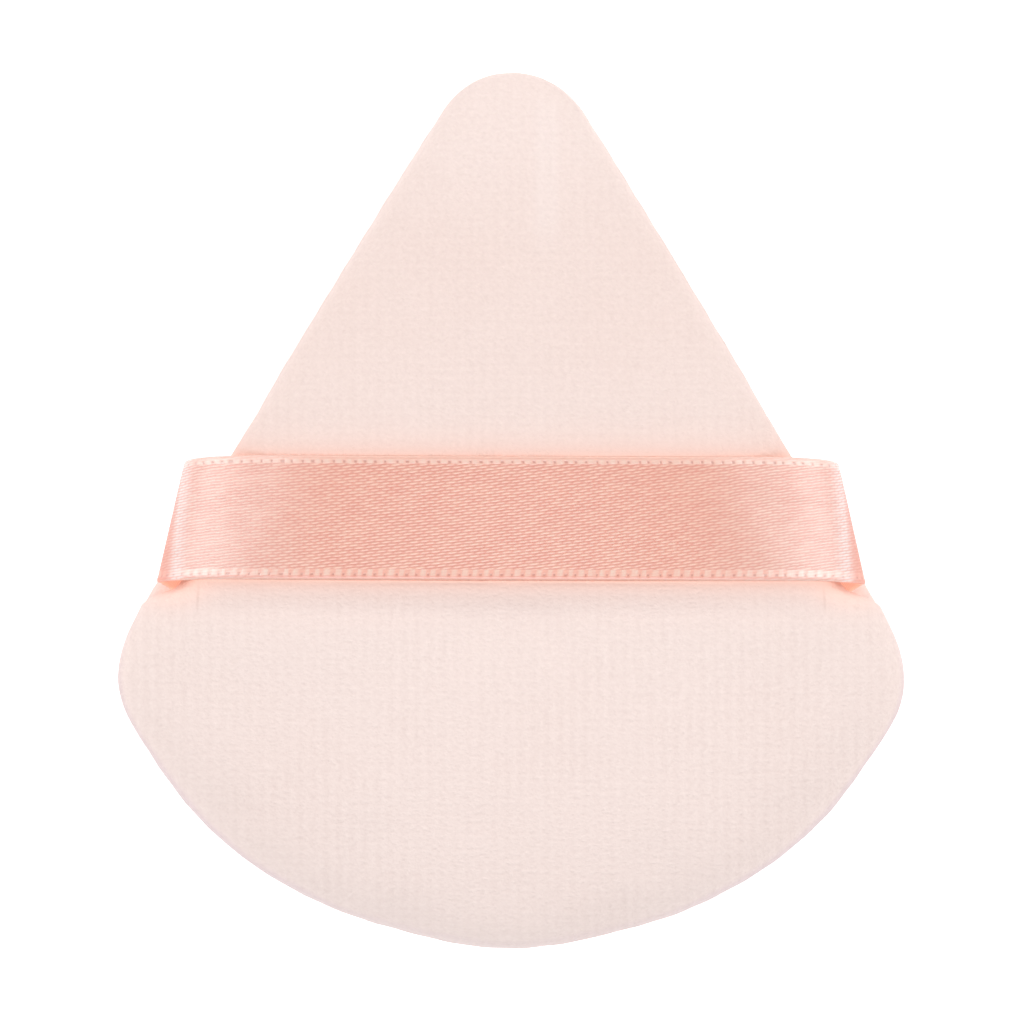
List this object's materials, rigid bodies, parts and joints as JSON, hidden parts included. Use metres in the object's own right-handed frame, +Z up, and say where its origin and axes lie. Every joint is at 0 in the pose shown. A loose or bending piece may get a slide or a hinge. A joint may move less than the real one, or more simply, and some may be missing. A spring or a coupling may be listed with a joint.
{
  "type": "powder puff",
  "caption": "Rounded triangular velour powder puff with a foam core and a flat satin finger ribbon caught in its side seams.",
  "frame": {"origin": "bottom centre of the bounding box, under the middle of the puff on its application side", "axes": "+Z up through the ribbon side, +Y towards the narrow tip, +X across the puff along the ribbon"},
  "size_m": [0.072, 0.08, 0.0195],
  "materials": {
    "front_velour": "short cut-pile velour, matt with a soft sheen at the rim",
    "back_velour": "short cut-pile velour, matt with a soft sheen at the rim",
    "foam": "fine open-cell polyurethane foam, matt",
    "satin": "woven satin, soft lengthwise gloss",
    "thread": "spun polyester sewing thread, matt"
  },
  "bodies": {
    "puff": {"front_velour_panel": "front_velour", "back_velour_panel": "back_velour", "sponge_core": "foam", "seam_needle_thread": "thread", "seam_bobbin_thread": "thread", "closing_thread": "thread"},
    "strap": {"satin_ribbon": "satin"}
  },
  "joints": [
    {"name": "strap_lift", "type": "slide", "parent": "puff", "child": "strap", "axis": [0, 0, 1], "range_m": [0, 0.008], "deforming": ["satin_ribbon"]}
  ]
}
